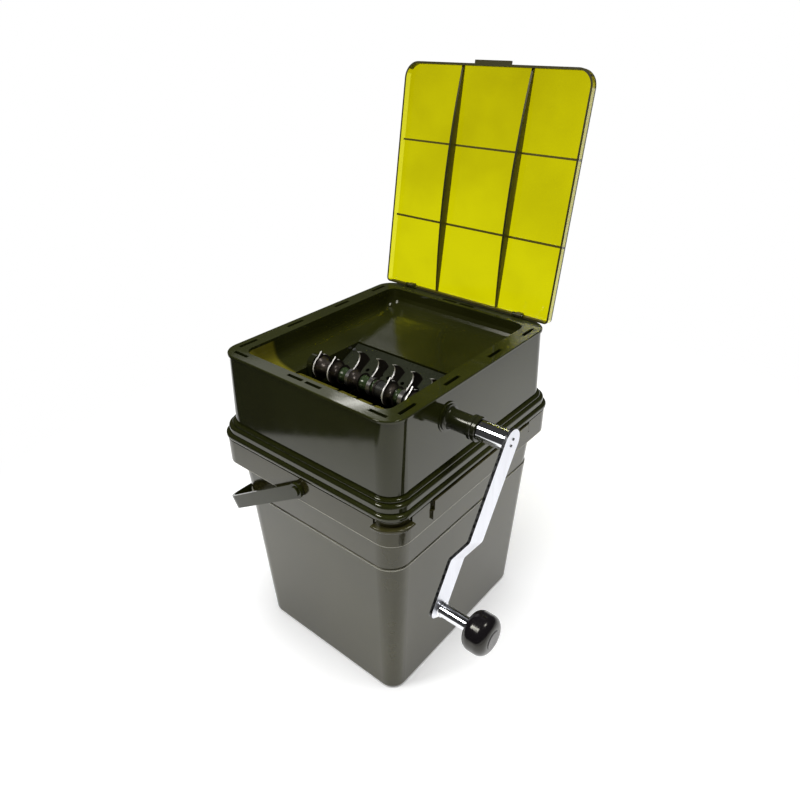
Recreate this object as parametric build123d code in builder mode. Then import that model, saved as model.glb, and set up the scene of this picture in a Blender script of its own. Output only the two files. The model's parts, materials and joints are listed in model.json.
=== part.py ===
from build123d import *
import os
from math import cos, radians, sin

os.makedirs("parts", exist_ok=True)

# Frame: the origin is the middle of the bucket's underside and +Z is up.
# The crank stands out on +X and the lid hinge runs along X at the +Y edge.

# Plan size of the hopper rim, and what the levels below it add to or take from it
hopper_x = 240.0
hopper_y = 279.0
flange_spread = 21.3
bead_spread = 15.3
shoulder_spread = 9.0
collar_spread = 19.3
rim_spread = 2.6
step_spread = -5.1
bottom_spread = -25.6
foot_spread = 2.0
neck_spread = -3.0

# Heights
bucket_height = 291.0
hopper_rise = 89.4
flange_drop = 14.5
bead_height = 7.8
upper_bead_height = 9.2
foot_rise = 6.5
collar_drop = 44.5
collar_gap = 0.5
step_drop = 91.5

# Walls, corners and roundings of the mouldings
bucket_wall = 2.4
bucket_floor = 3.0
hopper_wall = 2.6
funnel_wall = 2.4
collar_wall = 2.6
step_inset = 1.0
corner_radius = 24.0
base_radius = 18.0
neck_radius = 21.0
bottom_round = 5.0
bead_round = 3.2
shoulder_round = 2.4
rim_round = 1.2

# Gaps between pieces
fit_gap = 0.4
end_gap = 0.3
running_gap = 0.05
gasket_thick = 1.0

# Raised panels on the collar and the curved shelf round its front corner
panel_half = 93.0
panel_proud = 2.4
panel_foot = 7.5
panel_notch = 5.0
panel_notch_height = 11.0
panel_notch_deep = 1.4
shelf_proud = 4.4
shelf_thick = 4.4
shelf_drop = 5.4
shelf_inset_x = 27.0
shelf_inset_y = 26.0
shelf_round = 1.5
shelf_slot = 1.4

# Rim of the hopper
rim_plate = 3.0
opening_side = 21.0
opening_front = 16.5
opening_rear = 17.5
opening_radius = 12.0
slot_width = 4.2
side_slot = 24.0
side_slot_inset = 9.5
side_slot_near = 38.5
side_slot_far = 107.0
end_slot = 21.0
end_slot_inset = 10.0
end_slot_near = 12.6
end_slot_far = 95.0

# Crank axis, its bearing on the side wall and the sleeve outside it
axis_y = -55.0
axis_drop = 29.9
shaft_r = 5.5
pad_r = 16.0
pad_proud = 0.5
pad_depth = 5.6
flare_r = 13.8
flare_disc = 1.4
flare_round = 3.2
housing_r = 10.3
housing_length = 26.5
housing_bore = 7.4
spigot_r = 9.0
spigot_out = 8.0
spigot_in = 7.0
nut_size = 26.0
nut_thick = 5.5
ring_r = 12.5
ring_length = 9.6
ring_lip_r = 6.6
ring_groove = 4.6
ring_groove_depth = 0.7
ring_chamfer = 0.8
bush_length = 12.0
sleeve_r = 10.3
sleeve_length = 29.7
sleeve_washer_r = 10.8
sleeve_washer_thick = 1.0
circlip_r = 8.2
circlip_thick = 1.2
circlip_stand = 3.2

# Crank arm
arm_length = 170.0
arm_lean = 31.0
arm_width = 26.0
arm_end = 9.5
arm_end_round = 7.5
arm_thick = 3.0
arm_joggle = 11.8
joggle_start = 98.0
joggle_run = 22.0
joggle_round = 7.0
arm_pin_r = 1.3
arm_pin_offset = 3.2
arm_pin_deep = 6.0
arm_pin_proud = 0.7
arm_edge = 0.5

# Handle at the arm's end
spindle_r = 4.0
spindle_head_r = 7.0
spindle_head = 2.0
stem_r = 6.7
stem_length = 28.6
stem_washer_r = 7.4
stem_washer_thick = 4.2
stem_washer_groove = 0.6
retainer_r = 6.5
retainer_thick = 2.0
retainer_room = 0.5
knob_r = 19.4
knob_length = 25.4
knob_round = 9.3
knob_cup = 5.0
cap_r = 9.4
cap_seat = 1.4
cap_proud = 0.7

# Rotor: claws, guide discs and the spools between them, set along the shaft
rotor_start = -54.0
claw_r = 29.5
claw_plate = 1.6
claw_ring = 3.5
claw_ring_r = 9.8
claw_tip_angle = 73.7
claw_heel_angle = 25.0
disc_plate = 1.6
disc_r = 13.5
disc_tip_r = 18.0
disc_tip_front = 8.0
disc_tip_rear = 24.0
disc_tip_angle = 88.0
hub_end_r = 11.0
hub_waist_r = 7.2
green_r = 8.4
green_waist_r = 7.4
dark_spool_r = 8.9
metal_length = (19.9, 10.9, 13.9, 9.4, 14.4)
green_length = (10.0, 11.0, 3.9, 6.5, 5.0)
spacer_thick = 2.5
dark_length = 10.5
narrow_ring = 1.4
collar_length = 6.4

# Bearing at the rotor's far end
end_block = 7.7
end_block_r = 11.0
end_block_drop = 21.0
end_screw_half = 7.0
end_screw_drop = 15.5

# Funnel: its depth, how steep its walls start, and how far the throat stands in on each side
funnel_ledge = 3.4
funnel_turn = 2.5
funnel_steps = 12
turn_drop = 26.0
turn_side = 1.5
turn_front = 17.0
throat_drop = 31.4
throat_left = 32.5
throat_right = 1.5
throat_front = 33.0
throat_rear = 102.5
throat_radius = 1.0
throat_skirt = 30.0
shaft_hole_r = 6.4

# Perforated striker plate and front comb in the throat
strike_slope = 23.5
strike_start = 1.7
strike_length = 52.0
strike_drop = 1.0
strike_thick = 3.0
strike_hole_r = 2.5
strike_pitch = 10.25
strike_holes = 13
strike_rows = 2
strike_row_pitch = 13.0
strike_shift = 9.0
strike_row_shift = 10.5
strike_ledge = 6.0
comb_slope = 20.0
comb_lift = 1.5
comb_start = 1.2
comb_reach = 15.5
comb_root = 6.0
comb_thick = 2.5
comb_slot = 5.0
comb_ledge = 4.6
ledge_thick = 3.0
side_gap = 0.5
screw_r = 1.1
screw_head_r = 2.1
screw_head = 1.2
screw_inset = 3.2

# Lid, drawn open and leaning back; its hinge line lies just inside the rear edge
lid_half = 119.5
lid_length = 260.5
lid_rear = 1.8
lid_depth = 10.3
lid_gap = 1.2
lid_panel = 2.2
lid_skirt = 2.2
lid_radius = 18.0
lid_rear_radius = 5.0
lid_round = 1.6
lid_lean = 9.2
rib_left = 41.5
rib_right = 47.0
rib_deep = 12.4
rib_shallow = 3.0
rib_thick = 2.2
cross_rib = 2.6
cross_rib_near = 0.324
cross_rib_far = 0.671
tab_width = 46.0
tab_reach = 3.6
tab_thick = 2.6
hinge_inset = 3.0
hinge_rise = 3.0
knuckle_r = 2.6
knuckle_length = 7.6
knuckle_x = 80.0
ear_thick = 3.0
ear_room = 4.5
hinge_pin_r = 1.2

# Bail with its pivots in the middle of the long collar's front and rear
bail_drop = 29.0
bail_r = 144.5
bail_clear = 2.4
bail_band = 16.0
bail_thick = 3.4
bail_corner = 20.0
bail_droop = 32.5
bail_hub_r = 8.8
stud_r = 4.0
stud_shoulder_r = 7.0
stud_head_r = 5.6
stud_head = 1.6

# Levels and stations that follow from the sizes above
rim_top = bucket_height + hopper_rise
neck_z = rim_top - rim_plate
step_z = bucket_height - step_drop
collar_z = bucket_height - collar_drop
flange_z = bucket_height - flange_drop
collar_top_z = flange_z - collar_gap
seat_z = bucket_height + gasket_thick
foot_z = bucket_height + foot_rise
axis_z = rim_top - axis_drop
bail_z = bucket_height - bail_drop
open_left = -hopper_x / 2 + opening_side
open_right = hopper_x / 2 - opening_side
open_front = -hopper_y / 2 + opening_front
open_rear = hopper_y / 2 - opening_rear
duct_left = open_left + throat_left
duct_right = open_right - throat_right
duct_front = open_front + throat_front
duct_rear = open_rear - throat_rear
duct_z = rim_top - throat_drop
duct_bottom = duct_z - throat_skirt
pad_x = hopper_x / 2 + pad_proud
pad_inner = pad_x - pad_depth
tube_x = pad_x + housing_length
ring_end = tube_x + ring_length
sleeve_x = ring_end + end_gap
arm_x = sleeve_x + sleeve_length + sleeve_washer_thick
arm_low_x = arm_x - arm_joggle
stem_x = arm_low_x + arm_thick + stem_washer_thick
knob_x = stem_x + stem_length + end_gap
retainer_x = knob_x + knob_length - cap_seat - knob_cup + end_gap
block_x = duct_left + end_block
shaft_start = duct_left + 0.5
pin_y = axis_y - arm_length * sin(radians(arm_lean))
pin_z = axis_z - arm_length * cos(radians(arm_lean))
hinge_y = hopper_y / 2 - hinge_inset
hinge_z = rim_top + hinge_rise
lid_bottom = lid_gap - hinge_rise
lid_top = lid_bottom + lid_depth
collar_half_y = (hopper_y + collar_spread) / 2

crank_axis = Axis((0, axis_y, axis_z), (1, 0, 0))
knob_axis = Axis((0, pin_y, pin_z), (1, 0, 0))


def plan(z, x, y, r):
    with BuildSketch(Plane.XY.offset(z)) as outline:
        RectangleRounded(x, y, r)
    return outline.sketch


def spread(z, amount, r):
    return plan(z, hopper_x + amount, hopper_y + amount, r)


def span(z, left, right, front, rear, r):
    with BuildSketch(Plane.XY.offset(z)) as outline:
        with Locations(((left + right) / 2, (front + rear) / 2)):
            RectangleRounded(right - left, rear - front, r)
    return outline.sketch


def across(x, y=axis_y, z=axis_z):
    return Plane(origin=(x, y, z), x_dir=(0, 1, 0), z_dir=(1, 0, 0))


def along(y, z):
    return Plane(origin=(0, y, z), x_dir=(1, 0, 0), z_dir=(0, -1, 0))


def disc(x, r, y=axis_y, z=axis_z):
    with BuildSketch(across(x, y, z)) as outline:
        Circle(r)
    return outline.sketch


def turned(corners, y=axis_y, z=axis_z):
    with BuildSketch(along(y, z)) as half:
        with BuildLine():
            Polyline(*corners, close=True)
        make_face()
    return half.sketch


def waisted(start, end, end_r, waist_r):
    bore = shaft_r + running_gap
    with BuildSketch(along(axis_y, axis_z)) as half:
        with BuildLine():
            ThreePointArc((start, end_r), ((start + end) / 2, waist_r), (end, end_r))
            Polyline((end, end_r), (end, bore), (start, bore), (start, end_r))
        make_face()
    return half.sketch


def polar(r, angle):
    return (r * cos(radians(angle)), r * sin(radians(angle)))


def save(builder, name):
    builder.part.label = name
    export_step(builder.part, f"parts/{name}.step")


# Bucket: tapered tub with a stepped wall, a collar hanging round its top and a plain rim
upper_spread = step_spread - 2 * step_inset
inside = 2 * bucket_wall
inner_radius = corner_radius - bucket_wall
shelf_z = collar_top_z - shelf_drop - shelf_thick
shelf_x = (hopper_x + collar_spread) / 2
shelf_y = collar_half_y

with BuildPart() as bucket:
    loft([spread(0, bottom_spread, base_radius), spread(step_z, step_spread, corner_radius)])
    fillet(bucket.faces().sort_by(Axis.Z)[0].edges(), bottom_round)
    loft([spread(step_z, upper_spread, corner_radius),
          spread(collar_top_z, rim_spread, corner_radius)])
    extrude(spread(collar_top_z, rim_spread, corner_radius), amount=bucket_height - collar_top_z)
    hanging = spread(collar_z, collar_spread, corner_radius)
    hollow = spread(collar_z, collar_spread - 2 * collar_wall, corner_radius - collar_wall)
    extrude(hanging - hollow, amount=collar_top_z - collar_z)
    extrude(spread(collar_top_z - collar_wall, collar_spread, corner_radius), amount=collar_wall)
    for side in (-1, 1):
        with Locations((side * shelf_x, 0, collar_z + panel_foot)):
            Box(2 * panel_proud, 2 * panel_half, collar_top_z - collar_z - panel_foot,
                align=(Align.CENTER, Align.CENTER, Align.MIN))
        for end in (-1, 1):
            with Locations((side * (shelf_x + panel_proud), end * panel_half, collar_top_z)):
                Box(2 * (panel_proud + panel_notch_deep), panel_notch, 2 * panel_notch_height,
                    mode=Mode.SUBTRACT)
    with BuildSketch(Plane.XY.offset(shelf_z)) as shelf:
        RectangleRounded(2 * (shelf_x + shelf_proud), 2 * (shelf_y + shelf_proud),
                         corner_radius + shelf_proud)
        RectangleRounded(2 * shelf_x - collar_wall, 2 * shelf_y - collar_wall,
                         corner_radius - collar_wall / 2, mode=Mode.SUBTRACT)
        with Locations((shelf_x, -shelf_y)):
            Rectangle(2 * shelf_inset_x, 2 * shelf_inset_y, mode=Mode.INTERSECT)
    extrude(shelf.sketch, amount=shelf_thick)
    lips = bucket.edges().filter_by(lambda e: e.bounding_box().max.X > shelf_x + shelf_proud / 2)
    lips = lips.filter_by(lambda e: e.bounding_box().min.Y < -shelf_y - shelf_proud / 2)
    fillet(lips, shelf_round)
    with BuildSketch(Plane.XY.offset(shelf_z + shelf_thick)) as slot:
        RectangleRounded(2 * shelf_x + 2, 2 * shelf_y + 2, corner_radius + 1)
        RectangleRounded(2 * (shelf_x - shelf_slot), 2 * (shelf_y - shelf_slot),
                         corner_radius - shelf_slot, mode=Mode.SUBTRACT)
        with Locations((shelf_x, -shelf_y)):
            Rectangle(2 * shelf_inset_x, 2 * shelf_inset_y, mode=Mode.INTERSECT)
    extrude(slot.sketch, amount=shelf_drop, mode=Mode.SUBTRACT)
    loft([spread(bucket_floor, bottom_spread - inside, base_radius - bucket_wall),
          spread(step_z, upper_spread - inside, inner_radius)], mode=Mode.SUBTRACT)
    loft([spread(step_z, upper_spread - inside, inner_radius),
          spread(collar_top_z, rim_spread - inside, inner_radius)], mode=Mode.SUBTRACT)
    extrude(spread(collar_top_z, rim_spread - inside, inner_radius),
            amount=bucket_height - collar_top_z, mode=Mode.SUBTRACT)
    with BuildSketch(Plane.XZ) as pivots:
        with Locations((0, bail_z)):
            Circle(stud_r)
    extrude(pivots.sketch, amount=collar_half_y + 1, both=True, mode=Mode.SUBTRACT)
save(bucket, "bucket")

# Studs that carry the bail, one through each end wall of the collar
bail_inner = collar_half_y + bail_clear
bail_outer = bail_inner + bail_thick

with BuildPart() as bail_pivot_studs:
    for side in (-1, 1):
        for start, end, r in ((collar_half_y - collar_wall - stud_head, collar_half_y - collar_wall,
                               stud_head_r),
                              (collar_half_y - collar_wall, bail_outer + end_gap, stud_r),
                              (collar_half_y, bail_inner - end_gap, stud_shoulder_r),
                              (bail_outer + end_gap, bail_outer + end_gap + stud_head,
                               stud_head_r)):
            stud_plane = Plane(origin=(0, side * start, bail_z), x_dir=(1, 0, 0),
                               z_dir=(0, side, 0))
            with BuildSketch(stud_plane) as ring:
                Circle(r)
            extrude(ring.sketch, amount=end - start)
save(bail_pivot_studs, "bail_pivot_studs")

# Bail: flat band bent to a U, drawn resting against the bucket's -X wall
droop = radians(bail_droop)
bail_plane = Plane(origin=(0, 0, bail_z), x_dir=(-cos(droop), 0, -sin(droop)),
                   z_dir=(sin(droop), 0, -cos(droop)))

with BuildPart() as bail_handle:
    with BuildSketch(bail_plane) as band:
        RectangleRounded(2 * (bail_r + bail_thick), 2 * bail_outer, bail_corner)
        RectangleRounded(2 * bail_r, 2 * bail_inner, bail_corner - bail_thick,
                         mode=Mode.SUBTRACT)
        with Locations((bail_r, 0)):
            Rectangle(2 * bail_r, 3 * bail_outer, mode=Mode.INTERSECT)
    extrude(band.sketch, amount=bail_band / 2, both=True)
    for side in (-1, 1):
        hub_plane = Plane(origin=(0, side * bail_inner, bail_z), x_dir=(1, 0, 0),
                          z_dir=(0, side, 0))
        with BuildSketch(hub_plane) as hub:
            Circle(bail_hub_r)
        extrude(hub.sketch, amount=bail_thick)
        with BuildSketch(hub_plane) as eye:
            Circle(stud_r + running_gap)
        extrude(eye.sketch, amount=bail_thick, mode=Mode.SUBTRACT)
save(bail_handle, "bail_handle")

# Gasket between the bucket's rim and the hopper
with BuildPart() as rim_gasket:
    extrude(spread(bucket_height, rim_spread, corner_radius), amount=gasket_thick)
    extrude(spread(bucket_height, rim_spread - inside, inner_radius), amount=gasket_thick,
            mode=Mode.SUBTRACT)
save(rim_gasket, "rim_gasket")

# Hopper shell: beaded flange over the bucket's rim, tapered walls and a slotted rim plate
upper_bead_z = flange_z + bead_height / 2
upper_bead_top = upper_bead_z + bead_height / 2 + upper_bead_height
slot_x = hopper_x / 2 - side_slot_inset
slot_y = hopper_y / 2 - end_slot_inset
ear_offset = (knuckle_length + ear_thick) / 2 + end_gap

with BuildPart() as hopper_shell:
    extrude(spread(flange_z, flange_spread, corner_radius), amount=bead_height)
    fillet(hopper_shell.faces().sort_by(Axis.Z)[0].edges(), bead_round)
    fillet(hopper_shell.faces().sort_by(Axis.Z)[-1].edges(), bead_round)
    extrude(spread(upper_bead_z, bead_spread, corner_radius), amount=upper_bead_top - upper_bead_z)
    fillet(hopper_shell.faces().sort_by(Axis.Z)[-1].edges(), bead_round)
    extrude(spread(upper_bead_z, shoulder_spread, corner_radius), amount=foot_z - upper_bead_z)
    fillet(hopper_shell.faces().sort_by(Axis.Z)[-1].edges(), shoulder_round)
    loft([spread(foot_z - shoulder_round, foot_spread, corner_radius - bucket_wall),
          spread(neck_z, neck_spread, neck_radius)])
    extrude(spread(neck_z, 0, neck_radius + 1), amount=rim_plate)
    fillet(hopper_shell.faces().sort_by(Axis.Z)[-1].edges(), rim_round)
    loft([spread(seat_z, foot_spread - 2 * hopper_wall, corner_radius - hopper_wall),
          spread(neck_z, neck_spread - 2 * hopper_wall, neck_radius - hopper_wall)],
         mode=Mode.SUBTRACT)
    extrude(spread(flange_z, rim_spread + 2 * fit_gap, corner_radius + fit_gap),
            amount=seat_z - flange_z, mode=Mode.SUBTRACT)
    extrude(span(neck_z, open_left, open_right, open_front, open_rear, opening_radius),
            amount=rim_plate, mode=Mode.SUBTRACT)
    with BuildSketch(Plane.XY.offset(neck_z)) as rim_slots:
        for side in (-1, 1):
            for y in (-side_slot_far, -side_slot_near, side_slot_near, side_slot_far):
                with Locations((side * slot_x, y)):
                    Rectangle(slot_width, side_slot)
            for x in (-end_slot_far, -end_slot_near, end_slot_near, end_slot_far):
                if side < 0 or abs(x) < end_slot_far:
                    with Locations((x, side * slot_y)):
                        Rectangle(end_slot, slot_width)
    extrude(rim_slots.sketch, amount=rim_plate, mode=Mode.SUBTRACT)
    extrude(disc(pad_inner, pad_r), amount=pad_depth)
    extrude(disc(pad_inner, spigot_r), amount=pad_depth, mode=Mode.SUBTRACT)
    for side in (-1, 1):
        for end in (-1, 1):
            ear_x = side * knuckle_x + end * ear_offset
            with BuildSketch(across(ear_x - ear_thick / 2, hinge_y, hinge_z)) as ear:
                Circle(knuckle_r)
                with Locations((0, -hinge_rise / 2)):
                    Rectangle(2 * knuckle_r, hinge_rise)
            extrude(ear.sketch, amount=ear_thick)
            extrude(disc(ear_x - ear_thick / 2, hinge_pin_r, hinge_y, hinge_z), amount=ear_thick,
                    mode=Mode.SUBTRACT)
save(hopper_shell, "hopper_shell")

# Pins of the two lid hinges
with BuildPart() as lid_hinge_pins:
    pin_half = ear_offset + ear_thick / 2
    for side in (-1, 1):
        extrude(disc(side * knuckle_x - pin_half, hinge_pin_r, hinge_y, hinge_z),
                amount=2 * pin_half)
save(lid_hinge_pins, "lid_hinge_pins")

# Planes of the two inclined pieces in the throat, with +Y up the slope of each
tilt = radians(strike_slope)
strike_plane = Plane(origin=(0, duct_rear, duct_z - strike_drop), x_dir=(1, 0, 0),
                     z_dir=(0, -sin(tilt), cos(tilt)))
dip = radians(comb_slope)
comb_plane = Plane(origin=(0, duct_front, duct_z + comb_lift), x_dir=(1, 0, 0),
                   z_dir=(0, sin(dip), cos(dip)))
duct_middle = (duct_left + duct_right) / 2
duct_width = duct_right - duct_left
strike_screws = []
for strike_x in (duct_left + screw_inset, duct_right - screw_inset):
    for share in (0.2, 0.8):
        strike_screws.append((strike_x, -strike_start - share * strike_length))
comb_screws = []
for share in (0.04, 0.46, 0.86):
    comb_screws.append((duct_left + share * duct_width, comb_ledge - screw_head_r / 2))
end_screws = []
for side in (-1, 1):
    end_screws.append((side * end_screw_half, -end_screw_drop))

# Funnel: steep walls that turn into a shallow floor, and a duct below its throat


def blend(share, start, turn, end):
    first = (1 - share) ** 2
    middle = 2 * funnel_turn * share * (1 - share)
    last = share ** 2
    return (first * start + middle * turn + last * end) / (first + middle + last)


def funnel_sections(grow):
    sections = []
    for step in range(funnel_steps + 1):
        share = step / funnel_steps
        lower = 0 if step == 0 else grow
        level = rim_top - blend(share, rim_plate, turn_drop, throat_drop) - lower
        left = blend(share, 0, turn_side, throat_left)
        right = blend(share, 0, turn_side / 2, throat_right)
        front = blend(share, 0, turn_front, throat_front)
        rear = blend(share, 0, turn_side, throat_rear)
        radius = blend(share, opening_radius, opening_radius, throat_radius)
        sections.append(span(level, open_left + left - grow, open_right - right + grow,
                             open_front + front - grow, open_rear - rear + grow, radius + grow))
    return sections


with BuildPart() as feed_funnel:
    loft(funnel_sections(funnel_wall), ruled=True)
    extrude(span(neck_z - funnel_wall, open_left - 2 * funnel_ledge, open_right + 2 * funnel_ledge,
                 open_front - funnel_ledge, open_rear + funnel_ledge, opening_radius),
            amount=funnel_wall)
    extrude(span(duct_bottom, duct_left - funnel_wall, duct_right + funnel_wall,
                 duct_front - funnel_wall, duct_rear + funnel_wall, throat_radius + funnel_wall),
            amount=throat_skirt - funnel_wall)
    loft(funnel_sections(0), ruled=True, mode=Mode.SUBTRACT)
    extrude(span(duct_bottom, duct_left, duct_right, duct_front, duct_rear, throat_radius),
            amount=throat_skirt, mode=Mode.SUBTRACT)
    for ledge_x, outward in ((duct_left, Align.MIN), (duct_right, Align.MAX)):
        with BuildSketch(strike_plane.offset(-strike_thick)) as ledge:
            with Locations((ledge_x, -strike_start)):
                Rectangle(strike_ledge, strike_length, align=(outward, Align.MAX))
        extrude(ledge.sketch, amount=-ledge_thick)
    with BuildSketch(comb_plane.offset(-comb_thick)) as ledge:
        with Locations((duct_middle, 0)):
            Rectangle(duct_width, comb_ledge, align=(Align.CENTER, Align.MIN))
    extrude(ledge.sketch, amount=-ledge_thick)
    with BuildSketch(strike_plane.offset(-strike_thick)) as screw_holes:
        with Locations(*strike_screws):
            Circle(screw_r)
    extrude(screw_holes.sketch, amount=-ledge_thick, mode=Mode.SUBTRACT)
    with BuildSketch(comb_plane.offset(-comb_thick)) as screw_holes:
        with Locations(*comb_screws):
            Circle(screw_r)
    extrude(screw_holes.sketch, amount=-ledge_thick, mode=Mode.SUBTRACT)
    with BuildSketch(across(duct_left)) as screw_holes:
        with Locations(*end_screws):
            Circle(screw_r)
    extrude(screw_holes.sketch, amount=-funnel_wall, mode=Mode.SUBTRACT)
    extrude(disc(duct_right - 1, shaft_hole_r), amount=2 * pad_depth, mode=Mode.SUBTRACT)
save(feed_funnel, "feed_funnel")

# Perforated plate the claws throw the bait against
with BuildPart() as striker_plate:
    with BuildSketch(strike_plane) as sheet:
        with Locations((duct_middle, -strike_start)):
            Rectangle(duct_width - 2 * side_gap, strike_length, align=(Align.CENTER, Align.MAX))
        with Locations((duct_middle + strike_shift,
                        -strike_start - strike_length / 2 - strike_row_shift)):
            with GridLocations(strike_pitch, strike_row_pitch, strike_holes, strike_rows):
                Circle(strike_hole_r, mode=Mode.SUBTRACT)
        with Locations(*strike_screws):
            Circle(screw_r, mode=Mode.SUBTRACT)
    extrude(sheet.sketch, amount=-strike_thick)
save(striker_plate, "striker_plate")

# Comb in front of the rotor, with a slot for each claw
claw_stations = []


def set_out_rotor():
    x = rotor_start
    pieces = []
    order = (("disc", 1), ("metal", 1), ("disc", 2), ("metal", 2), ("green", 1), ("claw_left", 1),
             ("metal", 3), ("green", 2), ("claw_right", 2), ("green", 3), ("spacer", 1),
             ("dark", 1), ("claw_narrow", 3), ("disc", 3), ("metal", 4), ("green", 4),
             ("claw_left", 4), ("collar", 1), ("disc", 4), ("metal", 5), ("claw_bare", 5),
             ("green", 5))
    lengths = {"disc": disc_plate, "claw_left": claw_ring + claw_plate,
               "claw_right": claw_plate + claw_ring, "claw_narrow": claw_plate + narrow_ring,
               "claw_bare": claw_plate, "spacer": spacer_thick, "dark": dark_length,
               "collar": collar_length}
    for kind, number in order:
        if kind == "metal":
            length = metal_length[number - 1]
        elif kind == "green":
            length = green_length[number - 1]
        else:
            length = lengths[kind]
        pieces.append((kind, number, x, x + length))
        x += length
    return pieces


rotor = set_out_rotor()
for kind, number, start, end in rotor:
    if kind == "claw_left":
        claw_stations.append(end - claw_plate / 2)
    elif kind.startswith("claw"):
        claw_stations.append(start + claw_plate / 2)

with BuildPart() as front_comb:
    with BuildSketch(comb_plane) as sheet:
        with Locations((duct_middle, comb_start)):
            Rectangle(duct_width - 2 * side_gap, comb_reach - comb_start,
                      align=(Align.CENTER, Align.MIN))
        for x in claw_stations:
            with Locations((x, comb_root)):
                Rectangle(comb_slot, comb_reach, align=(Align.CENTER, Align.MIN),
                          mode=Mode.SUBTRACT)
        with Locations(*comb_screws):
            Circle(screw_r, mode=Mode.SUBTRACT)
    extrude(sheet.sketch, amount=-comb_thick)
save(front_comb, "front_comb")

# Screws of the plate, the comb and the far bearing
with BuildPart() as striker_plate_screws:
    with BuildSketch(strike_plane) as heads:
        with Locations(*strike_screws):
            Circle(screw_head_r)
    extrude(heads.sketch, amount=screw_head)
    with BuildSketch(strike_plane) as shanks:
        with Locations(*strike_screws):
            Circle(screw_r)
    extrude(shanks.sketch, amount=-strike_thick - ledge_thick)
save(striker_plate_screws, "striker_plate_screws")

with BuildPart() as front_comb_screws:
    with BuildSketch(comb_plane) as heads:
        with Locations(*comb_screws):
            Circle(screw_head_r)
    extrude(heads.sketch, amount=screw_head)
    with BuildSketch(comb_plane) as shanks:
        with Locations(*comb_screws):
            Circle(screw_r)
    extrude(shanks.sketch, amount=-comb_thick - ledge_thick)
save(front_comb_screws, "front_comb_screws")

with BuildPart() as end_bearing:
    with BuildSketch(across(duct_left)) as block:
        Circle(end_block_r)
        Rectangle(2 * end_block_r, end_block_drop, align=(Align.CENTER, Align.MAX))
        Circle(shaft_r + running_gap, mode=Mode.SUBTRACT)
        with Locations(*end_screws):
            Circle(screw_r, mode=Mode.SUBTRACT)
    extrude(block.sketch, amount=end_block)
save(end_bearing, "end_bearing")

with BuildPart() as end_bearing_screws:
    with BuildSketch(across(block_x)) as heads:
        with Locations(*end_screws):
            Circle(screw_head_r)
    extrude(heads.sketch, amount=screw_head)
    with BuildSketch(across(block_x)) as shanks:
        with Locations(*end_screws):
            Circle(screw_r)
    extrude(shanks.sketch, amount=-end_block - funnel_wall)
save(end_bearing_screws, "end_bearing_screws")

# Crank bearing: flanged housing through the side wall, nut inside, bush and lock ring
with BuildPart() as bearing_housing:
    revolve(turned(((pad_inner - spigot_in, housing_bore), (pad_inner - spigot_in, spigot_r),
                    (pad_x, spigot_r), (pad_x, flare_r), (pad_x + flare_disc, flare_r),
                    (pad_x + flare_disc, housing_r), (tube_x, housing_r), (tube_x, spigot_r),
                    (tube_x + spigot_out, spigot_r), (tube_x + spigot_out, housing_bore))),
            axis=crank_axis)
    root = bearing_housing.edges().filter_by(GeomType.CIRCLE)
    root = root.filter_by(lambda e: abs(e.radius - housing_r) < 0.01).sort_by(Axis.X)[0]
    fillet(root, flare_round)
save(bearing_housing, "bearing_housing")

with BuildPart() as housing_nut:
    with BuildSketch(across(pad_inner)) as nut:
        RegularPolygon(nut_size / 2, 6, major_radius=False)
        Circle(spigot_r + running_gap, mode=Mode.SUBTRACT)
    extrude(nut.sketch, amount=-nut_thick)
save(housing_nut, "housing_nut")

with BuildPart() as bearing_bush:
    bush_end = tube_x + spigot_out
    revolve(turned(((bush_end - bush_length, shaft_r + running_gap),
                    (bush_end - bush_length, housing_bore - running_gap),
                    (bush_end, housing_bore - running_gap), (bush_end, shaft_r + running_gap))),
            axis=crank_axis)
save(bearing_bush, "bearing_bush")

with BuildPart() as lock_ring:
    lip_x = tube_x + spigot_out
    groove_x = tube_x + ring_groove
    revolve(turned(((tube_x, spigot_r + running_gap), (tube_x, ring_r - ring_chamfer),
                    (tube_x + ring_chamfer, ring_r), (groove_x - ring_groove_depth, ring_r),
                    (groove_x, ring_r - ring_groove_depth), (groove_x + ring_groove_depth, ring_r),
                    (ring_end - ring_chamfer, ring_r), (ring_end, ring_r - ring_chamfer),
                    (ring_end, ring_lip_r), (lip_x, ring_lip_r), (lip_x, spigot_r + running_gap))),
            axis=crank_axis)
save(lock_ring, "lock_ring")

# Shaft and the pieces threaded on it
arm_dir = (0, -sin(radians(arm_lean)), -cos(radians(arm_lean)))
arm_side = (0, -cos(radians(arm_lean)), sin(radians(arm_lean)))


def arm_plane(x):
    return Plane(origin=(x, axis_y, axis_z), x_dir=arm_dir, z_dir=(1, 0, 0))


arm_pin_spots = ((-arm_pin_offset, 0), (arm_pin_offset, 0))

with BuildPart() as drive_shaft:
    extrude(disc(shaft_start, shaft_r), amount=arm_x - shaft_start)
    with BuildSketch(arm_plane(arm_x)) as sockets:
        with Locations(*arm_pin_spots):
            Circle(arm_pin_r)
    extrude(sockets.sketch, amount=-arm_pin_deep, mode=Mode.SUBTRACT)
save(drive_shaft, "drive_shaft")

bore_r = shaft_r + running_gap


def claw_outline():
    tip = polar(claw_r, claw_tip_angle)
    crest = polar(claw_r, (claw_tip_angle + claw_heel_angle) / 2)
    heel = polar(claw_r, claw_heel_angle)
    nape = polar(claw_ring_r * 1.1, 12)
    root_rear = polar(claw_ring_r * 0.97, -12)
    root_front = polar(claw_ring_r * 0.8, 162)
    brow = polar(claw_ring_r * 0.9, 108)
    cheek = polar(claw_r * 0.48, 70)
    throat = polar(claw_r * 0.7, 61)
    beak = polar(claw_r * 0.88, 64.4)
    with BuildLine() as edge:
        ThreePointArc(tip, crest, heel)
        Spline(heel, polar(claw_r * 0.66, 24), nape, root_rear)
        Line(root_rear, root_front)
        Spline(root_front, brow, cheek, throat, beak, tip)
    return edge.line


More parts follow.
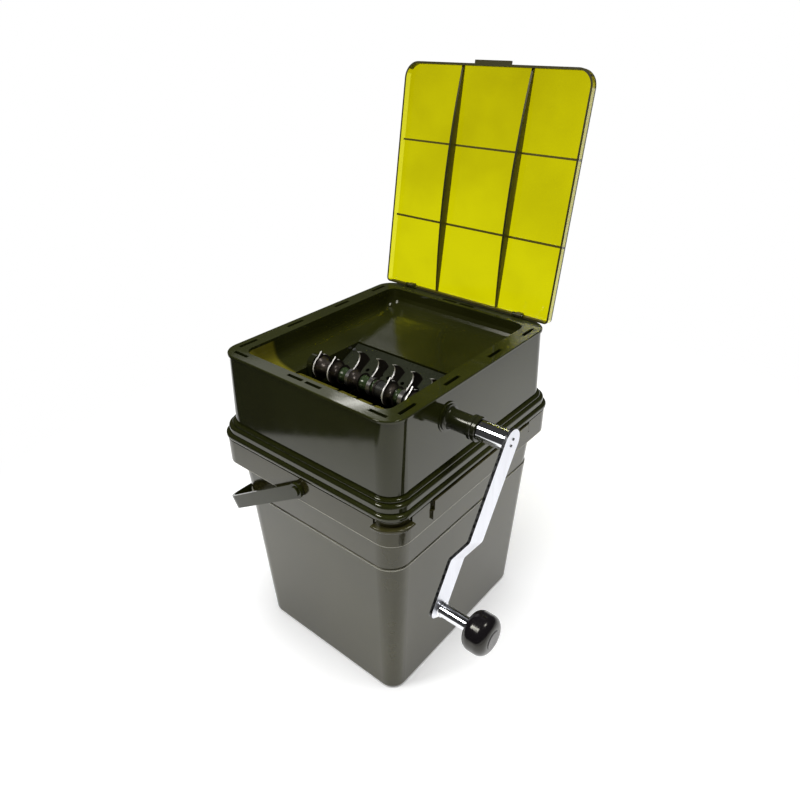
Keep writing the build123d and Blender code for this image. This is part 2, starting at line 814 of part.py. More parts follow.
for kind, number, start, end in rotor:
    if not kind.startswith("claw"):
        continue
    plate_x = end - claw_plate if kind == "claw_left" else start
    with BuildPart() as claw_blade:
        with BuildSketch(across(plate_x)) as blade:
            make_face(claw_outline())
            Circle(claw_ring_r)
            Circle(bore_r, mode=Mode.SUBTRACT)
        extrude(blade.sketch, amount=claw_plate)
        if end - start > claw_plate + 0.01:
            ring_x = start if kind == "claw_left" else start + claw_plate
            extrude(disc(ring_x, claw_ring_r), amount=end - start - claw_plate)
            extrude(disc(ring_x, bore_r), amount=end - start - claw_plate, mode=Mode.SUBTRACT)
    save(claw_blade, f"claw_blade_{number}")

for kind, number, start, end in rotor:
    if kind != "disc":
        continue
    tip = polar(disc_tip_r, disc_tip_angle)
    with BuildPart() as guide_disc:
        with BuildSketch(across(start)) as blade:
            Circle(disc_r)
            with BuildLine():
                Polyline(polar(disc_r, disc_tip_angle + disc_tip_rear), tip,
                         polar(disc_r, disc_tip_angle - disc_tip_front), (0, 0), close=True)
            make_face()
            Circle(bore_r, mode=Mode.SUBTRACT)
        extrude(blade.sketch, amount=end - start)
    save(guide_disc, f"guide_disc_{number}")

for kind, number, start, end in rotor:
    if kind != "metal":
        continue
    with BuildPart() as metal_spool:
        revolve(waisted(start, end, hub_end_r, hub_waist_r), axis=crank_axis)
    save(metal_spool, f"metal_spool_{number}")

for kind, number, start, end in rotor:
    if kind != "green":
        continue
    with BuildPart() as green_spool:
        revolve(waisted(start, end, green_r, green_waist_r), axis=crank_axis)
    save(green_spool, f"green_spool_{number}")

for kind, number, start, end in rotor:
    if kind not in ("spacer", "dark", "collar"):
        continue
    sleeve = {"spacer": claw_ring_r, "dark": dark_spool_r, "collar": green_waist_r}[kind]
    label = {"spacer": "spacer_ring", "dark": "dark_spool", "collar": "rotor_collar"}[kind]
    with BuildPart() as spacer:
        extrude(disc(start, sleeve), amount=end - start)
        extrude(disc(start, bore_r), amount=end - start, mode=Mode.SUBTRACT)
    save(spacer, label)

with BuildPart() as shaft_circlip:
    clip_x = open_right + funnel_wall + circlip_stand
    extrude(disc(clip_x, circlip_r), amount=circlip_thick)
    extrude(disc(clip_x, bore_r), amount=circlip_thick, mode=Mode.SUBTRACT)
save(shaft_circlip, "shaft_circlip")

with BuildPart() as crank_sleeve:
    revolve(turned(((sleeve_x, bore_r), (sleeve_x, sleeve_r - arm_edge),
                    (sleeve_x + arm_edge, sleeve_r), (sleeve_x + sleeve_length, sleeve_r),
                    (sleeve_x + sleeve_length, bore_r))), axis=crank_axis)
save(crank_sleeve, "crank_sleeve")

with BuildPart() as sleeve_washer:
    washer_x = sleeve_x + sleeve_length
    extrude(disc(washer_x, sleeve_washer_r), amount=sleeve_washer_thick)
    extrude(disc(washer_x, bore_r), amount=sleeve_washer_thick, mode=Mode.SUBTRACT)
save(sleeve_washer, "sleeve_washer")

# Arm: flat bar stepped inwards on its way down to the handle
with BuildPart() as crank_arm:
    low = arm_length + arm_width
    joggle_end = joggle_start + joggle_run
    with BuildSketch(Plane(origin=(0, axis_y, axis_z), x_dir=arm_dir, z_dir=arm_side)) as bar:
        with BuildLine():
            Polyline((-arm_width, arm_x), (joggle_start, arm_x), (joggle_end, arm_low_x),
                     (low, arm_low_x), (low, arm_low_x + arm_thick),
                     (joggle_end, arm_low_x + arm_thick), (joggle_start, arm_x + arm_thick),
                     (-arm_width, arm_x + arm_thick), close=True)
        make_face()
        bends = bar.vertices().filter_by(lambda v: joggle_start - 1 < v.X < joggle_end + 1)
        fillet(bends, joggle_round)
    extrude(bar.sketch, amount=arm_width, both=True)
    with BuildSketch(arm_plane(arm_low_x - 1)) as outline:
        with Locations((arm_length / 2, 0)):
            Rectangle(arm_length + 2 * arm_end, arm_width)
        fillet(outline.vertices().group_by(Axis.X)[-1], arm_end_round)
        with Locations((0, 0)):
            Rectangle(2 * arm_width, arm_width, mode=Mode.SUBTRACT)
            Circle(arm_width / 2)
        with Locations((arm_width / 2, 0)):
            Rectangle(arm_width, arm_width)
    extrude(outline.sketch, amount=arm_joggle + arm_thick + 2, mode=Mode.INTERSECT)
    with BuildSketch(arm_plane(arm_x)) as pin_holes:
        with Locations(*arm_pin_spots):
            Circle(arm_pin_r)
    extrude(pin_holes.sketch, amount=arm_thick, mode=Mode.SUBTRACT)
    extrude(disc(arm_low_x, spindle_r + running_gap, pin_y, pin_z), amount=arm_thick,
            mode=Mode.SUBTRACT)
save(crank_arm, "crank_arm")

with BuildPart() as arm_pins:
    with BuildSketch(arm_plane(arm_x - arm_pin_deep)) as pins:
        with Locations(*arm_pin_spots):
            Circle(arm_pin_r)
    extrude(pins.sketch, amount=arm_pin_deep + arm_thick + arm_pin_proud)
save(arm_pins, "arm_pins")

# Handle: stem riveted to the arm, washer, turning knob with its retainer and cap
with BuildPart() as knob_spindle:
    revolve(turned(((arm_low_x - spindle_head, 0), (arm_low_x - spindle_head, spindle_head_r),
                    (arm_low_x, spindle_head_r), (arm_low_x, spindle_r), (stem_x, spindle_r),
                    (stem_x, stem_r), (stem_x + stem_length, stem_r),
                    (stem_x + stem_length, spindle_r),
                    (retainer_x + retainer_thick, spindle_r), (retainer_x + retainer_thick, 0)),
                   pin_y, pin_z), axis=knob_axis)
save(knob_spindle, "knob_spindle")

with BuildPart() as stem_washer:
    washer_x = arm_low_x + arm_thick
    groove_x = washer_x + stem_washer_thick / 2
    revolve(turned(((washer_x, spindle_r + running_gap), (washer_x, stem_washer_r),
                    (groove_x - stem_washer_groove, stem_washer_r),
                    (groove_x, stem_washer_r - stem_washer_groove),
                    (groove_x + stem_washer_groove, stem_washer_r), (stem_x, stem_washer_r),
                    (stem_x, spindle_r + running_gap)), pin_y, pin_z), axis=knob_axis)
save(stem_washer, "stem_washer")

with BuildPart() as knob_retainer:
    extrude(disc(retainer_x, retainer_r, pin_y, pin_z), amount=retainer_thick)
    extrude(disc(retainer_x, spindle_r + running_gap, pin_y, pin_z), amount=retainer_thick,
            mode=Mode.SUBTRACT)
save(knob_retainer, "knob_retainer")

cup_x = knob_x + knob_length - cap_seat - knob_cup
seat_x = knob_x + knob_length - cap_seat

with BuildPart() as knob:
    extrude(disc(knob_x, knob_r, pin_y, pin_z), amount=knob_length)
    fillet(knob.edges().filter_by(GeomType.CIRCLE), knob_round)
    extrude(disc(knob_x, spindle_r + running_gap, pin_y, pin_z), amount=knob_length,
            mode=Mode.SUBTRACT)
    extrude(disc(cup_x, retainer_r + retainer_room, pin_y, pin_z), amount=knob_cup + cap_seat,
            mode=Mode.SUBTRACT)
    extrude(disc(seat_x, cap_r, pin_y, pin_z), amount=2 * cap_seat, mode=Mode.SUBTRACT)
save(knob, "knob")

with BuildPart() as knob_cap:
    extrude(disc(seat_x, cap_r, pin_y, pin_z), amount=cap_seat + cap_proud)
    fillet(knob_cap.edges().sort_by(Axis.X)[-1], cap_proud)
save(knob_cap, "knob_cap")

# Lid: shallow tray with two arched ribs and two cross ribs on its inner face
lean = radians(lid_lean)
lid_plane = Plane(origin=(0, hinge_y, hinge_z), x_dir=(1, 0, 0), z_dir=(0, cos(lean), -sin(lean)))
lid_out = Axis((0, hinge_y, hinge_z), (0, cos(lean), -sin(lean)))


def lid_sketch(z, inset):
    front_r = lid_radius - inset
    rear_r = max(lid_rear_radius - inset, 1)
    with BuildSketch(lid_plane.offset(z)) as outline:
        with Locations((0, lid_rear - inset)):
            Rectangle(2 * (lid_half - inset), lid_length + lid_rear - 2 * inset,
                      align=(Align.CENTER, Align.MAX))
        fillet(outline.vertices().group_by(Axis.Y)[0], front_r)
        fillet(outline.vertices().group_by(Axis.Y)[-1], rear_r)
    return outline.sketch


def lid_side(x):
    # In this plane X runs along the lid away from the hinge and Y stands out of its back
    return Plane(origin=(x, hinge_y, hinge_z), x_dir=(0, sin(lean), cos(lean)),
                 z_dir=(-1, 0, 0))


with BuildPart() as lid:
    extrude(lid_sketch(lid_bottom, 0), amount=lid_depth)
    fillet(lid.faces().sort_by(lid_out)[-1].edges(), lid_round)
    extrude(lid_sketch(lid_bottom, lid_skirt), amount=lid_depth - lid_panel, mode=Mode.SUBTRACT)
    panel_z = lid_top - lid_panel
    for x in (-rib_left, rib_right):
        with BuildSketch(lid_side(x + rib_thick / 2)) as rib:
            with BuildLine():
                ThreePointArc((-lid_rear + lid_skirt / 2, panel_z - rib_shallow),
                              (lid_length / 2, panel_z - rib_deep),
                              (lid_length - lid_skirt / 2, panel_z - rib_shallow))
                Polyline((lid_length - lid_skirt / 2, panel_z - rib_shallow),
                         (lid_length - lid_skirt / 2, panel_z + lid_panel / 2),
                         (-lid_rear + lid_skirt / 2, panel_z + lid_panel / 2),
                         (-lid_rear + lid_skirt / 2, panel_z - rib_shallow))
            make_face()
        extrude(rib.sketch, amount=rib_thick)
    for share in (cross_rib_near, cross_rib_far):
        with BuildSketch(lid_plane.offset(panel_z - cross_rib)) as rib:
            with Locations((0, -share * lid_length)):
                Rectangle(2 * lid_half - lid_skirt, rib_thick)
        extrude(rib.sketch, amount=cross_rib + lid_panel / 2)
    with BuildSketch(lid_plane.offset(lid_bottom)) as tab:
        with Locations((0, -lid_length + lid_skirt / 2)):
            Rectangle(tab_width, tab_reach + lid_skirt / 2, align=(Align.CENTER, Align.MAX))
    extrude(tab.sketch, amount=tab_thick)
    for side in (-1, 1):
        with BuildSketch(lid_plane.offset(lid_bottom)) as room:
            with Locations((side * knuckle_x, lid_rear)):
                Rectangle(2 * (ear_offset + ear_thick / 2 + end_gap), ear_room + lid_rear,
                          align=(Align.CENTER, Align.MAX))
        extrude(room.sketch, amount=ear_room - lid_bottom, mode=Mode.SUBTRACT)
        with BuildSketch(across(side * knuckle_x - knuckle_length / 2, hinge_y, hinge_z)) as eye:
            Circle(knuckle_r)
        extrude(eye.sketch, amount=knuckle_length)
        with BuildSketch(lid_plane) as web:
            with Locations((side * knuckle_x, lid_rear)):
                Rectangle(knuckle_length, lid_rear + lid_skirt, align=(Align.CENTER, Align.MAX))
        extrude(web.sketch, amount=lid_top - lid_panel / 2)
        extrude(disc(side * knuckle_x - knuckle_length / 2, hinge_pin_r + running_gap,
                     hinge_y, hinge_z), amount=knuckle_length, mode=Mode.SUBTRACT)
save(lid, "lid")
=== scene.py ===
import json
import math
import bpy
from mathutils import Matrix, Vector

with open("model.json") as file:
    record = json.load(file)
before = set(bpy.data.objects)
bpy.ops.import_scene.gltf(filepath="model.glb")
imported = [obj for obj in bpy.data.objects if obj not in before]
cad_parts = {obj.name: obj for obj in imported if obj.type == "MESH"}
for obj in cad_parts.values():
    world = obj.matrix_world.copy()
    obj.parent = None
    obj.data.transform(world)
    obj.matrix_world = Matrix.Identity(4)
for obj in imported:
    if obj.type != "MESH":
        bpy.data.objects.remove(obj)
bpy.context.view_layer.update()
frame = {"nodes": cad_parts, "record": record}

# The camera, solved from the photograph: eye in metres, turns in degrees
EYE = (0.42934, -0.50203, 0.68349)
AZIMUTH = 39.651
ELEVATION = 30.075
ROLL = -0.394
LENS_MM = 29.623
SENSOR_MM = 36.0
NEAREST_SEEN = 0.01

# All places and lengths below are in metres, in the frame that the pieces are packed in

# The open lid leans back past upright. Depths in it are measured from its hinge along LID_NORMAL,
# which points out of the panel's front face, where the ribs are
LID_HINGE = (0.0, 0.1365, 0.3834)
LID_LEAN = math.radians(9.2)
LID_NORMAL = (0.0, -math.cos(LID_LEAN), math.sin(LID_LEAN))
LID_PANEL_FRONT = -0.0063
LID_HALF_WIDTH = 0.1195
# The panel's tint deepens over these heights
LID_TINT_HEIGHTS = (0.42, 0.66)
# What stands this far out of the panel's face gets painted shade, darkest at the ribs' full height
RIB_SHADE_START = (0.0004, 0.0009)
RIB_HEIGHT = 0.012
# The skirt lies within this distance of the lid's side, and its pale outer skin within the next
SKIRT_WIDTH = (0.0060, 0.0050)
SKIRT_SKIN = (0.0012, 0.0006)

# The bucket's two ledges carry a pale line of painted highlight, which reaches this far above and
# below them
LEDGES = (0.1992, 0.2465)
LEDGE_HIGHLIGHT_REACH = 0.0010

# The crank's axis, and the radius of the claws' own rings about it, with a soft edge
CRANK_Y = -0.055
CRANK_Z = 0.3505
CLAW_RING = 0.0103
CLAW_RING_EDGE = 0.0004

# The funnel's ramp, which gets painted yellow light, is in front of this, with a soft edge
RAMP_Y = -0.086
RAMP_EDGE = 0.006

# The olive plastic's dark and light tones, and the tint of the reflections in every plastic
OLIVE = (0.012, 0.0135, 0.0022)
OLIVE_LIGHT = (0.017, 0.019, 0.004)
SHEEN = (1.0, 0.98, 0.86)

# Between these lie nearly all the values of a noise
NOISE_CORE = (0.3, 0.7)

WHITE = (1.0, 1.0, 1.0)
FLOOR_SIZE = 40.0
FLOOR_GLOW = 0.24
# The floor is lit around this place, and turns to plain white over these distances from it
FLOOR_MIDDLE = (0.16, 0.10, 0.0)
FLOOR_FADE = (0.60, 0.95)
# In reflections the floor's paper ends on a straight line in front: the direction across the line,
# and where along it the paper fades. Past it, and all round, the room is nearly dark
PAPER_ACROSS = (0.565, 0.825, 0.0)
PAPER_END = (-0.655, -0.635)
DARK_ROOM = 0.05
# How bright the background is behind the clear lid when the lid is itself seen in a reflection
MIRRORED_WHITE = 0.12

# A Mix node has sockets for each kind of data: its factor, its two values and its result
MIX_NUMBERS = (0, 2, 3)
MIX_NUMBER_RESULT = 0
MIX_COLOURS = (0, 6, 7)
MIX_COLOUR_RESULT = 2


def add_camera():
    az, el, roll = (math.radians(angle) for angle in (AZIMUTH, ELEVATION, ROLL))
    forward = Vector((-math.sin(az) * math.cos(el), math.cos(az) * math.cos(el), -math.sin(el)))
    right = Vector((math.cos(az), math.sin(az), 0.0))
    up = right.cross(forward)
    rolled_right = math.cos(roll) * right + math.sin(roll) * up
    rolled_up = math.cos(roll) * up - math.sin(roll) * right
    data = bpy.data.cameras.new("camera")
    data.lens = LENS_MM
    data.sensor_width = SENSOR_MM
    data.clip_start = NEAREST_SEEN
    camera = bpy.data.objects.new("camera", data)
    bpy.context.scene.collection.objects.link(camera)
    turn = Matrix((rolled_right, rolled_up, -forward)).transposed()
    camera.matrix_world = Matrix.Translation(EYE) @ turn.to_4x4()
    bpy.context.scene.camera = camera


def grey(level):
    return (level, level, level)


def scaled(colour, factor):
    return tuple(factor * channel for channel in colour)


class Shader:
    """The node tree of a material or of the world, with short calls that add to it."""

    def __init__(self, owner, surface):
        owner.use_nodes = True
        self.tree = owner.node_tree
        self.surface = self.tree.nodes[surface]

    def add(self, kind, **settings):
        node = self.tree.nodes.new(kind)
        for key, value in settings.items():
            setattr(node, key, value)
        return node

    def link(self, source, socket):
        self.tree.links.new(source, socket)

    def put(self, source, socket):
        """Gives a socket a number, a colour or the output of another node."""
        if isinstance(source, (int, float)):
            socket.default_value = source
        elif isinstance(source, tuple):
            socket.default_value = (*source, 1)
        else:
            self.link(source, socket)

    def give(self, name, source):
        """Puts a value or an output on one of the surface's own sockets."""
        self.put(source, self.surface.inputs[name])

    def span(self, value, low, high, first=0.0, last=1.0):
        """Runs smoothly from first to last while the value runs from low to high."""
        node = self.add("ShaderNodeMapRange", interpolation_type="SMOOTHSTEP")
        node.inputs["From Min"].default_value = low
        node.inputs["From Max"].default_value = high
        node.inputs["To Min"].default_value = first
        node.inputs["To Max"].default_value = last
        self.link(value, node.inputs["Value"])
        return node.outputs["Result"]

    def mix(self, factor, first, second):
        """Mixes two colours."""
        node = self.add("ShaderNodeMix", data_type="RGBA")
        for index, source in zip(MIX_COLOURS, (factor, first, second)):
            self.put(source, node.inputs[index])
        return node.outputs[MIX_COLOUR_RESULT]

    def blend(self, factor, first, second):
        """Mixes two numbers."""
        node = self.add("ShaderNodeMix", data_type="FLOAT")
        for index, source in zip(MIX_NUMBERS, (factor, first, second)):
            self.put(source, node.inputs[index])
        return node.outputs[MIX_NUMBER_RESULT]

    def math(self, operation, first, second=0.0):
        node = self.add("ShaderNodeMath", operation=operation)
        self.put(first, node.inputs[0])
        self.put(second, node.inputs[1])
        return node.outputs["Value"]


class Material(Shader):
    """A material, with its place on the piece and its facing, which stay put in every pose."""

    def __init__(self, name):
        self.name = name
        self.material = bpy.data.materials.new(name)
        super().__init__(self.material, "Principled BSDF")
        coordinates = self.add("ShaderNodeTexCoord")
        self.position = coordinates.outputs["Object"]
        self.facing = coordinates.outputs["Normal"]

    def noise(self, scale, detail, stretch=None, roughness=0.5, distortion=0.0):
        node = self.add("ShaderNodeTexNoise")
        node.inputs["Scale"].default_value = scale
        node.inputs["Detail"].default_value = detail
        node.inputs["Roughness"].default_value = roughness
        node.inputs["Distortion"].default_value = distortion
        vector = self.position
        if stretch:
            mapping = self.add("ShaderNodeMapping")
            mapping.inputs["Scale"].default_value = stretch
            self.link(vector, mapping.inputs["Vector"])
            vector = mapping.outputs["Vector"]
        self.link(vector, node.inputs["Vector"])
        return node.outputs["Fac"]

    def part(self, vector, axis):
        node = self.add("ShaderNodeSeparateXYZ")
        self.link(vector, node.inputs["Vector"])
        return node.outputs[axis]

    def size(self, vector, axis):
        """A vector's size along an axis, whichever way it points."""
        return self.math("ABSOLUTE", self.part(vector, axis))

    def with_vector(self, operation, vector, other):
        """The outputs of a vector operation with a fixed vector or with another output."""
        node = self.add("ShaderNodeVectorMath", operation=operation)
        self.link(vector, node.inputs[0])
        if isinstance(other, tuple):
            node.inputs[1].default_value = other
        else:
            self.link(other, node.inputs[1])
        return node.outputs

    def distance(self, place):
        return self.with_vector("DISTANCE", self.position, place)["Value"]

    def dot(self, vector, direction):
        return self.with_vector("DOT_PRODUCT", vector, direction)["Value"]

    def bump(self, height, strength, distance, after=None):
        node = self.add("ShaderNodeBump")
        node.inputs["Strength"].default_value = strength
        node.inputs["Distance"].default_value = distance
        self.link(height, node.inputs["Height"])
        if after:
            self.link(after, node.inputs["Normal"])
        self.give("Normal", node.outputs["Normal"])
        return node.outputs["Normal"]

    def tint_where(self, factor, colour):
        """Mixes a colour over the base colour that the surface has so far."""
        base = self.surface.inputs["Base Color"].links[0].from_socket
        self.give("Base Color", self.mix(factor, base, colour))


def moulded(name, dark, light, roughness=0.1, shine=0.5):
    """Moulded plastic: cloudy tone with flow lines, rub marks, a slight wave and a fine grain."""
    s = Material(name)
    s.give("Specular IOR Level", shine)
    s.give("Specular Tint", SHEEN)
    cloud = s.noise(scale=9.0, detail=4.0)
    flow = s.noise(scale=30.0, detail=3.0, stretch=(0.35, 0.35, 2.2), distortion=0.4)
    flow_share = 0.3
    tone = s.blend(flow_share, cloud, flow)
    s.give("Base Color", s.mix(s.span(tone, 0.36, 0.64), dark, light))
    rub = s.noise(scale=55.0, detail=5.0, stretch=(1.0, 1.0, 0.3), roughness=0.7)
    s.give("Roughness", s.span(rub, 0.35, 0.75, 0.8 * roughness, 1.5 * roughness))
    wave = s.bump(s.noise(scale=14.0, detail=2.0), strength=0.12, distance=0.0006)
    s.bump(s.noise(scale=1400.0, detail=2.0), strength=0.02, distance=0.0003, after=wave)
    return s


def bucket_wall(name):
    """Moulded plastic whose two ledges have a painted highlight, a pale line along the edge."""
    s = moulded(name, (0.024, 0.022, 0.006), (0.034, 0.031, 0.010), roughness=0.13)
    height = s.part(s.position, "Z")
    # The pale line at each ledge is a painted highlight, where the ledge catches light from above
    line = 0.0
    for ledge in LEDGES:
        away = s.math("ABSOLUTE", s.math("SUBTRACT", height, ledge))
        line = s.math("MAXIMUM", line, s.span(away, LEDGE_HIGHLIGHT_REACH, 0.5 * LEDGE_HIGHLIGHT_REACH))
    # This noise makes the painted highlight uneven
    wear = s.span(s.noise(scale=40.0, detail=3.0), 0.3, 0.6, 0.7, 1.0)
    painted_highlight = (0.34, 0.33, 0.27)
    s.tint_where(s.math("MULTIPLY", line, wear), painted_highlight)
    return s


def funnel_inside(name):
    """Moulded plastic, with painted yellow light on the ramp in front of the rotor."""
    s = moulded(name, (0.008, 0.009, 0.0014), (0.013, 0.014, 0.0025), roughness=0.16, shine=0.25)
    # The yellow on the ramp is painted light, lightening a ramp that the lamps leave dark
    ramp = s.span(s.part(s.position, "Y"), RAMP_Y + RAMP_EDGE, RAMP_Y)
    painted_yellow_light = (0.075, 0.067, 0.006)
    s.tint_where(ramp, painted_yellow_light)
    return s


def metal(name, dark, light, roughness, metallic=1.0, brushed=None, grain=0.03):
    """Plain metal, worn unevenly and, where brushed gives a stretch, brushed along one axis."""
    s = Material(name)
    tone = s.noise(scale=60.0, detail=4.0, stretch=brushed)
    s.give("Base Color", s.mix(s.span(tone, *NOISE_CORE), dark, light))
    s.give("Metallic", metallic)
    wear = s.noise(scale=120.0, detail=4.0, stretch=brushed)
    s.give("Roughness", s.span(wear, *NOISE_CORE, 0.8 * roughness, 1.3 * roughness))
    s.bump(s.noise(scale=700.0, detail=2.0, stretch=brushed), strength=grain, distance=0.0002)
    return s


def ground_plate(name, face, edge):
    """Steel plate with dark faces and bright ground edges, dull on the ring about the shaft."""
    s = Material(name)
    tone = s.span(s.noise(scale=90.0, detail=4.0), *NOISE_CORE)
    rim = s.span(s.size(s.facing, "X"), 0.35, 0.6, 1.0, 0.0)
    on_axis = s.add("ShaderNodeCombineXYZ")
    s.link(s.part(s.position, "X"), on_axis.inputs["X"])
    on_axis.inputs["Y"].default_value = CRANK_Y
    on_axis.inputs["Z"].default_value = CRANK_Z
    from_axis = s.distance(on_axis.outputs["Vector"])
    ring = s.span(from_axis, CLAW_RING + CLAW_RING_EDGE, CLAW_RING)
    light_face = scaled(face, 1.7)
    light_edge = scaled(edge, 1.25)
    dull_ring = (0.22, 0.21, 0.20)
    bright = s.mix(ring, s.mix(tone, edge, light_edge), dull_ring)
    s.give("Base Color", s.mix(rim, s.mix(tone, face, light_face), bright))
    s.give("Metallic", s.blend(rim, 0.35, s.blend(ring, 0.5, 0.9)))
    s.give("Roughness", 0.3)
    s.bump(s.noise(scale=500.0, detail=3.0), strength=0.06, distance=0.0002)
    return s


def bar_stock(name):
    """Flat silver bar: pale brushed faces and dark sawn edges."""
    s = Material(name)
    brushed = s.noise(scale=160.0, detail=3.0, stretch=(1.0, 0.5, 0.08))
    rough_cut = s.noise(scale=420.0, detail=2.0)
    face = s.mix(s.span(brushed, *NOISE_CORE), (0.68, 0.69, 0.74), (0.79, 0.80, 0.85))
    sawn = s.mix(s.span(rough_cut, 0.4, 0.6), grey(0.012), grey(0.10))
    edge = s.span(s.size(s.facing, "X"), 0.2, 0.5, 1.0, 0.0)
    s.give("Base Color", s.mix(edge, face, sawn))
    s.give("Metallic", 0.85)
    s.give("Roughness", s.span(brushed, *NOISE_CORE, 0.30, 0.42))
    s.bump(brushed, strength=0.04, distance=0.0002)
    return s


def clear_lid(name):
    """Tinted clear plastic: a yellow panel with painted shade on the ribs and skirt crest, and
    pale side edges.
    """
    s = Material(name)
    from_hinge = s.with_vector("SUBTRACT", s.position, LID_HINGE)["Vector"]
    depth = s.dot(from_hinge, LID_NORMAL)
    across = s.size(s.position, "X")
    flatness = s.math("ABSOLUTE", s.dot(s.facing, LID_NORMAL))

    # The ribs and the skirt crest get painted shade: dark and not clear, in place of the light
    # they lose inside them
    proud = s.span(depth, *(LID_PANEL_FRONT + start for start in RIB_SHADE_START))
    inboard = s.span(across, *(LID_HALF_WIDTH - width for width in SKIRT_WIDTH), 1.0, 0.0)
    crest = s.math("MULTIPLY", proud, s.span(flatness, 0.6, 0.8))
    rib_shade = s.math("MULTIPLY", proud, inboard)
    dark = s.math("MAXIMUM", crest, rib_shade)

    rising = s.span(s.part(s.position, "Z"), *LID_TINT_HEIGHTS)
    faint = s.mix(rising, (0.60, 0.57, 0.0008), (0.46, 0.42, 0.0004))
    full = s.mix(rising, (0.69, 0.665, 0.001), (0.55, 0.51, 0.0006))
    tint = s.mix(s.span(s.noise(scale=11.0, detail=3.0), *NOISE_CORE), faint, full)
    outside = s.span(across, *(LID_HALF_WIDTH - skin for skin in SKIRT_SKIN))
    side = s.math("MULTIPLY", outside, s.span(flatness, 0.5, 0.3))
    nearly_clear = (0.93, 0.93, 0.86)
    tint = s.mix(side, tint, nearly_clear)
    # The painted shade deepens with the height out of the panel
    shade = s.mix(s.span(depth, LID_PANEL_FRONT, LID_PANEL_FRONT + RIB_HEIGHT),
                  (0.075, 0.062, 0.004), (0.016, 0.016, 0.004))

    s.give("Base Color", s.mix(dark, tint, shade))
    s.give("Transmission Weight", s.math("SUBTRACT", 1.0, dark))
    s.give("IOR", 1.49)
    smear = s.span(s.noise(scale=60.0, detail=4.0), *NOISE_CORE, 0.04, 0.12)
    s.give("Roughness", s.blend(dark, smear, 0.4))
    s.bump(s.noise(scale=18.0, detail=2.0), strength=0.08, distance=0.0006)
    return s


def all_materials():
    """One material for each slot of the record, with its dark and its light tone."""
    return (
        bucket_wall("bucket_plastic"),
        moulded("bail_plastic", OLIVE, OLIVE_LIGHT, roughness=0.16, shine=0.24),
        moulded("hopper_plastic", OLIVE, OLIVE_LIGHT, roughness=0.07),
        funnel_inside("funnel_plastic"),
        clear_lid("lid_plastic"),
        moulded("gasket_rubber", grey(0.010), grey(0.020), roughness=0.6),
        moulded("striker_paint", (0.009, 0.010, 0.006), (0.015, 0.017, 0.010), roughness=0.3,
                shine=0.3),
        # The comb's olive is its own colour, made lighter and yellower as painted light where it
        # sits in shade
        moulded("comb_paint", (0.060, 0.054, 0.006), (0.082, 0.073, 0.010), roughness=0.25),
        metal("screw_steel", grey(0.42), grey(0.58), roughness=0.28),
        moulded("housing_plastic", (0.006, 0.007, 0.002), (0.011, 0.012, 0.004), roughness=0.14),
        moulded("ring_plastic", (0.007, 0.008, 0.003), (0.014, 0.015, 0.006), roughness=0.18),
        metal("bush_bronze", (0.36, 0.22, 0.09), (0.46, 0.30, 0.13), roughness=0.3),
        metal("shaft_steel", grey(0.40), grey(0.55), roughness=0.3, brushed=(0.1, 1.0, 1.0)),
        ground_plate("claw_steel", face=(0.010, 0.007, 0.006), edge=(0.60, 0.58, 0.55)),
        ground_plate("disc_steel", face=(0.012, 0.009, 0.008), edge=(0.62, 0.60, 0.57)),
        metal("spool_metal", (0.030, 0.024, 0.020), (0.060, 0.050, 0.042), roughness=0.3,
              metallic=0.7),
        moulded("spool_green", (0.012, 0.020, 0.008), (0.020, 0.032, 0.012), roughness=0.2),
        moulded("spool_dark", grey(0.010), (0.018, 0.018, 0.016), roughness=0.3),
        metal("sleeve_chrome", (0.66, 0.67, 0.69), (0.76, 0.77, 0.79), roughness=0.07, grain=0.01),
        moulded("washer_black", grey(0.008), grey(0.015), roughness=0.3),
        bar_stock("arm_aluminium"),
        moulded("knob_plastic", (0.0035, 0.003, 0.0035), (0.006, 0.005, 0.006), roughness=0.16),
        moulded("cap_plastic", (0.055, 0.053, 0.055), (0.080, 0.077, 0.080), roughness=0.25),
    )


def dress():
    """Puts on every piece the material that the record names for it."""
    slots = {s.name: s.material for s in all_materials()}
    for part in frame["record"]["subparts"]:
        for slot in frame["nodes"][part["node"]].material_slots:
            slot.material = slots[part["material_slot"]]


def area_light(name, place, target, size, power):
    data = bpy.data.lights.new(name, "AREA")
    data.energy = power
    data.shape = "RECTANGLE"
    data.size, data.size_y = size
    light = bpy.data.objects.new(name, data)
    bpy.context.scene.collection.objects.link(light)
    light.location = place
    light.rotation_mode = "QUATERNION"
    light.rotation_quaternion = (Vector(target) - Vector(place)).to_track_quat("-Z", "Y")
    return light


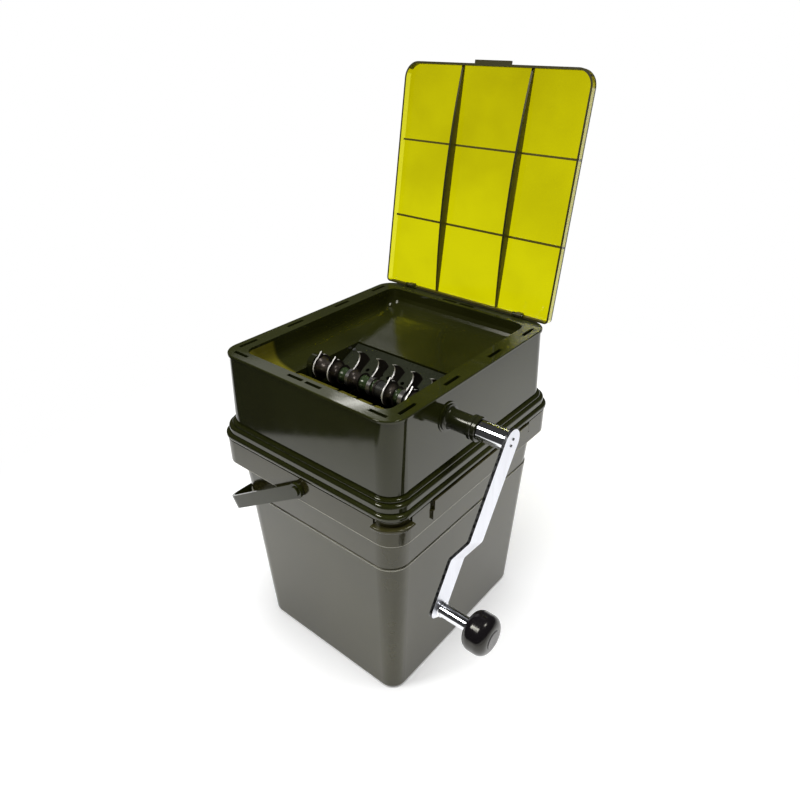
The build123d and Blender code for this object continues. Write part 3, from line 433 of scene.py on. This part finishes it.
def add_lights():
    # The large lamp gives most of the light, and the four small ones make the highlights
    top = area_light("top", place=(0.1, -0.1, 2.0), target=(0, 0, 0.2), size=(1.3, 1.3), power=45)
    top.visible_glossy = False
    area_light("strip", place=(-1.03, 0.79, 1.18), target=(0, -0.14, 0.38), size=(0.5, 0.3),
               power=0.32)
    area_light("core", place=(-0.93, 0.90, 1.215), target=(0.05, -0.13, 0.38), size=(0.16, 0.02),
               power=0.10)
    area_light("key", place=(-0.60, -1.20, 1.75), target=(0, 0, 0.3), size=(0.45, 0.60), power=14)
    area_light("spot", place=(0.50, 0.10, 1.60), target=(0, 0, 0.35), size=(0.25, 0.25), power=4)


def seen_white(s):
    """1 where the background is seen, directly or through the clear lid, and less where it is
    seen through the lid in a reflection of the lid."""
    path = s.add("ShaderNodeLightPath")
    mirrored = s.span(path.outputs["Glossy Depth"], 0.0, 1.0, 1.0, MIRRORED_WHITE)
    through = s.math("MULTIPLY", path.outputs["Is Transmission Ray"], mirrored)
    return s.math("MAXIMUM", path.outputs["Is Camera Ray"], through)


def add_floor():
    """White paper that takes shadows near the object and glows evenly further off."""
    s = Material("floor_paper")
    paper = s.span(s.noise(scale=3.0, detail=3.0), *NOISE_CORE)
    s.give("Base Color", s.mix(paper, grey(0.90), grey(0.92)))
    s.give("Roughness", 0.9)
    s.give("Specular IOR Level", 0.0)
    s.give("Emission Color", WHITE)
    s.give("Emission Strength", FLOOR_GLOW)

    across = s.dot(s.position, PAPER_ACROSS)
    far = s.span(s.distance(FLOOR_MIDDLE), *FLOOR_FADE)
    far = s.math("MAXIMUM", far, s.span(across, *PAPER_END, 1.0, 0.0))
    reflected = s.span(across, *PAPER_END, DARK_ROOM, 1.0)
    glow = s.add("ShaderNodeEmission")
    s.put(s.math("MAXIMUM", seen_white(s), reflected), glow.inputs["Strength"])
    mixed = s.add("ShaderNodeMixShader")
    sources = (far, s.surface.outputs["BSDF"], glow.outputs["Emission"])
    for source, socket in zip(sources, mixed.inputs):
        s.link(source, socket)
    s.link(mixed.outputs["Shader"], s.tree.nodes["Material Output"].inputs["Surface"])

    bpy.ops.mesh.primitive_plane_add(size=FLOOR_SIZE)
    floor = bpy.context.object
    floor.name = "floor"
    floor.data.materials.append(s.material)


def add_world():
    world = bpy.data.worlds.new("studio")
    bpy.context.scene.world = world
    s = Shader(world, "Background")
    s.give("Color", WHITE)
    s.give("Strength", s.math("MAXIMUM", seen_white(s), DARK_ROOM))


add_camera()
dress()
add_floor()
add_world()
add_lights()
bpy.context.scene.view_settings.view_transform = "Standard"
